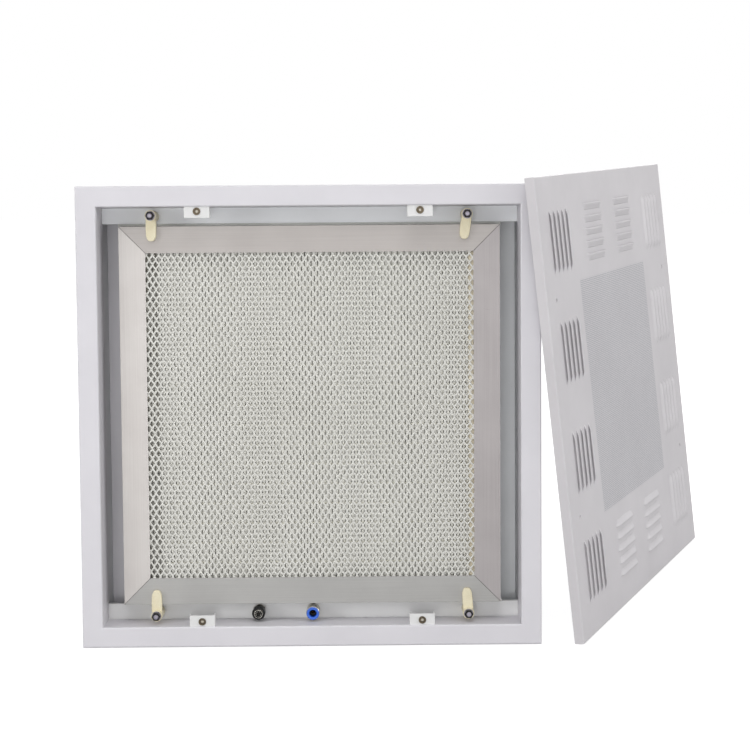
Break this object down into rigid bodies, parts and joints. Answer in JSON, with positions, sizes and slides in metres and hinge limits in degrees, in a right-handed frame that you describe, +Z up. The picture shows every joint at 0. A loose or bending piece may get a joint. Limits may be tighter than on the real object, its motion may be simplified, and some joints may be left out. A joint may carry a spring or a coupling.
{
  "type": "hepa air outlet",
  "caption": "Square steel ceiling air outlet with a clamped pleated filter behind a mesh guard, and its louvred face panel leaning beside it.",
  "frame": {"origin": "on the floor, under the middle of the whole", "axes": "+Z up; +Y goes from the mouth of the box towards its back; +X runs from the box to its leaning face panel, along the longest extent"},
  "size_m": [0.8848, 0.5751, 0.591],
  "materials": {
    "white_steel": "white powder coat, semi-matte",
    "frame_aluminium": "satin anodised",
    "guard_steel": "white coated expanded metal",
    "filter_paper": "matte glass-fibre paper",
    "potting_resin": "cast resin",
    "gasket_foam": "closed-cell foam",
    "clip_nylon": "natural moulded nylon",
    "nut_steel": "dark plated",
    "zinc_steel": "zinc plated",
    "galvanised_steel": "galvanised",
    "port_nickel": "nickel-plated brass",
    "ring_black": "moulded acetal",
    "collet_blue": "moulded acetal",
    "tube_copper": "drawn copper"
  },
  "bodies": {
    "housing": {"mouth_frame": "white_steel", "plenum_body": "white_steel", "back_panel": "white_steel", "duct_collar": "galvanised_steel", "seat_rail_top": "white_steel", "seat_rail_left": "white_steel", "seat_rail_bottom": "white_steel", "seat_rail_right": "white_steel", "clamp_rail_top": "white_steel", "clamp_rail_bottom": "white_steel", "filter_rail_top": "frame_aluminium", "filter_stile_left": "frame_aluminium", "filter_rail_bottom": "frame_aluminium", "filter_stile_right": "frame_aluminium", "faceguard": "guard_steel", "media_pack": "filter_paper", "potting_seal": "potting_resin", "filter_gasket": "gasket_foam", "fixing_tab_top_left": "white_steel", "hanging_lug_top_left": "white_steel", "fixing_tab_top_right": "white_steel", "hanging_lug_top_right": "white_steel", "fixing_tab_bottom_left": "white_steel", "hanging_lug_bottom_left": "white_steel", "fixing_tab_bottom_right": "white_steel", "hanging_lug_bottom_right": "white_steel", "clip_studs": "zinc_steel", "clip_washers": "zinc_steel", "clip_nuts": "nut_steel", "rivet_nuts": "zinc_steel", "test_port_body": "port_nickel", "test_port_ring": "ring_black", "test_port_tube": "tube_copper", "push_fitting_body": "port_nickel", "pressure_tube": "tube_copper", "test_port_locknut": "zinc_steel", "push_fitting_locknut": "zinc_steel", "diffuser_panel": "white_steel"},
    "clip_top_left": {"filter_clip_top_left": "clip_nylon"},
    "clip_top_right": {"filter_clip_top_right": "clip_nylon"},
    "clip_bottom_left": {"filter_clip_bottom_left": "clip_nylon"},
    "clip_bottom_right": {"filter_clip_bottom_right": "clip_nylon"},
    "collet": {"push_fitting_collet": "collet_blue"}
  },
  "joints": [
    {"name": "clip_top_left_turn", "type": "hinge", "parent": "housing", "child": "clip_top_left", "pos_m": [-0.35036, -0.18423, 0.54169], "axis": [0, -0.9962, 0.0876], "range_deg": [-90, 90]},
    {"name": "clip_top_right_turn", "type": "hinge", "parent": "housing", "child": "clip_top_right", "pos_m": [0.04964, -0.18423, 0.54169], "axis": [0, -0.9962, 0.0876], "range_deg": [-83, 97]},
    {"name": "clip_bottom_left_turn", "type": "hinge", "parent": "housing", "child": "clip_bottom_left", "pos_m": [-0.35036, -0.22898, 0.03305], "axis": [0, -0.9962, 0.0876], "range_deg": [-90, 90]},
    {"name": "clip_bottom_right_turn", "type": "hinge", "parent": "housing", "child": "clip_bottom_right", "pos_m": [0.04964, -0.22898, 0.03305], "axis": [0, -0.9962, 0.0876], "range_deg": [-93.5, 86.5]},
    {"name": "collet_press", "type": "slide", "parent": "housing", "child": "collet", "axis": [0, 0.9962, -0.0876], "range_m": [0, 0.0012], "stiffness_N_per_m": 400}
  ]
}
